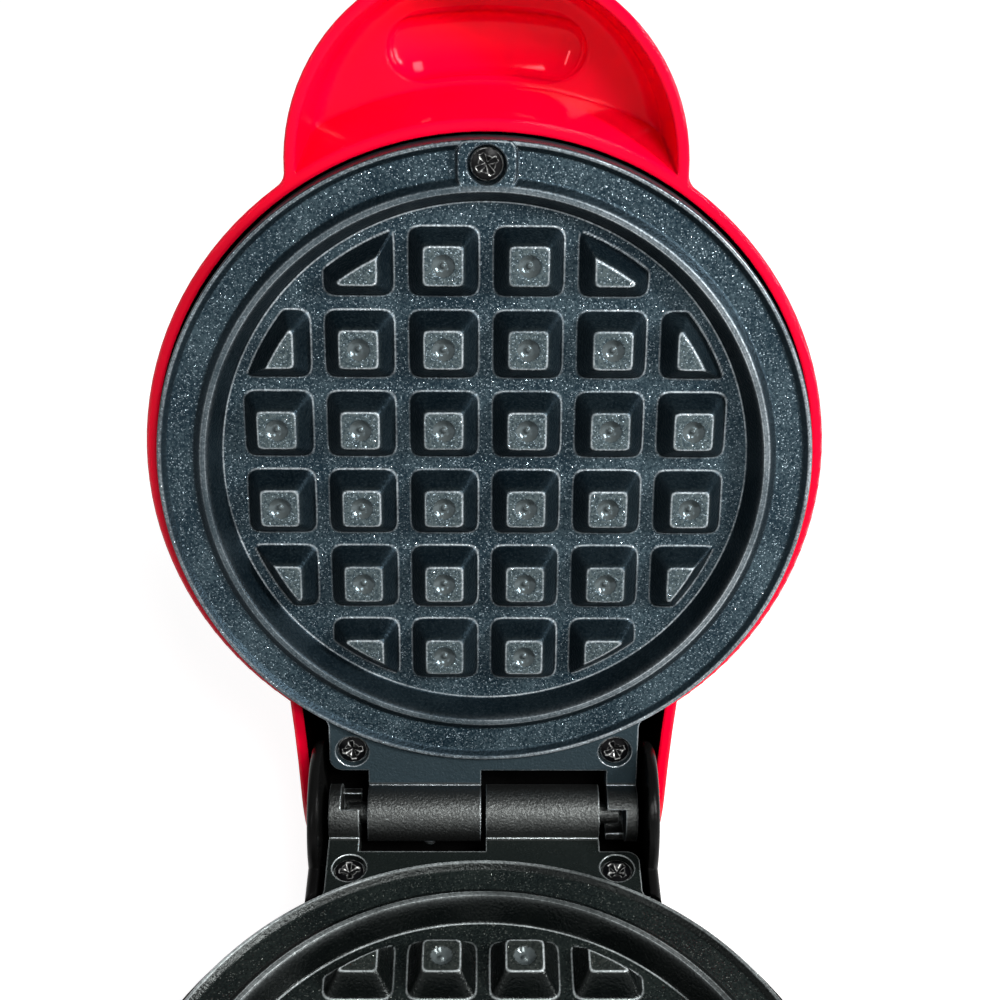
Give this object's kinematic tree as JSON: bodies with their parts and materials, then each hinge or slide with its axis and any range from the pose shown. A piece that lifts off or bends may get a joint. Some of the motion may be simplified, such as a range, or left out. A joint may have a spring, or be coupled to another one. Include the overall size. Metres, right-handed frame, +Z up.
{
  "type": "mini waffle maker",
  "caption": "Round mini waffle maker standing open: coated cast grid plates hinged together, black base, red lid with a round hollow handle.",
  "frame": {"origin": "on the table, in the middle of the footprint of the open appliance", "axes": "+X along the hinge axis, to the right of the user; +Y from the user towards the hinge and the leaning lid; +Z up"},
  "size_m": [0.1242, 0.1998, 0.1875],
  "materials": {
    "lid_plastic": "high gloss",
    "base_plastic": "satin",
    "coated_plate": "dark speckled non-stick coating",
    "black_screw": "black oxide",
    "element_tube": "matte steel tube",
    "bright_steel": "zinc plated",
    "sheet_metal": "bare pressed sheet",
    "ceramic": "unglazed ceramic",
    "switch_body": "phenolic",
    "clear_lens": "clear",
    "nylon": "natural nylon",
    "rubber": "matte",
    "brass": "plain"
  },
  "bodies": {
    "base": {"base_shell": "base_plastic", "bottom_cover": "base_plastic", "lower_plate": "coated_plate", "lower_plate_screws": "black_screw", "lower_heating_element": "element_tube", "lower_element_seals": "ceramic", "lower_element_terminals": "bright_steel", "lower_element_straps": "bright_steel", "lower_strap_screws": "bright_steel", "lower_heat_shield": "sheet_metal", "lower_shield_screws": "bright_steel", "thermostat": "switch_body", "thermostat_screws": "bright_steel", "cord_gland": "rubber", "cord_clamp": "nylon", "cord_clamp_screws": "bright_steel", "terminal_block": "ceramic", "terminal_block_screws": "brass", "bottom_cover_screws": "black_screw", "rubber_feet": "rubber"},
    "lid": {"lid_shell": "lid_plastic", "upper_plate": "coated_plate", "upper_plate_screws": "black_screw", "upper_heating_element": "element_tube", "upper_element_seals": "ceramic", "upper_element_terminals": "bright_steel", "upper_element_straps": "bright_steel", "upper_strap_screws": "bright_steel", "upper_heat_shield": "sheet_metal", "upper_shield_screws": "bright_steel", "thermal_fuse": "bright_steel", "fuse_clip": "sheet_metal", "fuse_clip_screws": "bright_steel", "indicator_lens": "clear_lens", "indicator_lamp": "clear_lens", "lamp_holder": "nylon"}
  },
  "joints": [
    {"name": "lid_hinge", "type": "hinge", "parent": "base", "child": "lid", "pos_m": [0, 0.033, 0.036], "axis": [1, 0, 0], "range_deg": [0, 106.5]}
  ]
}
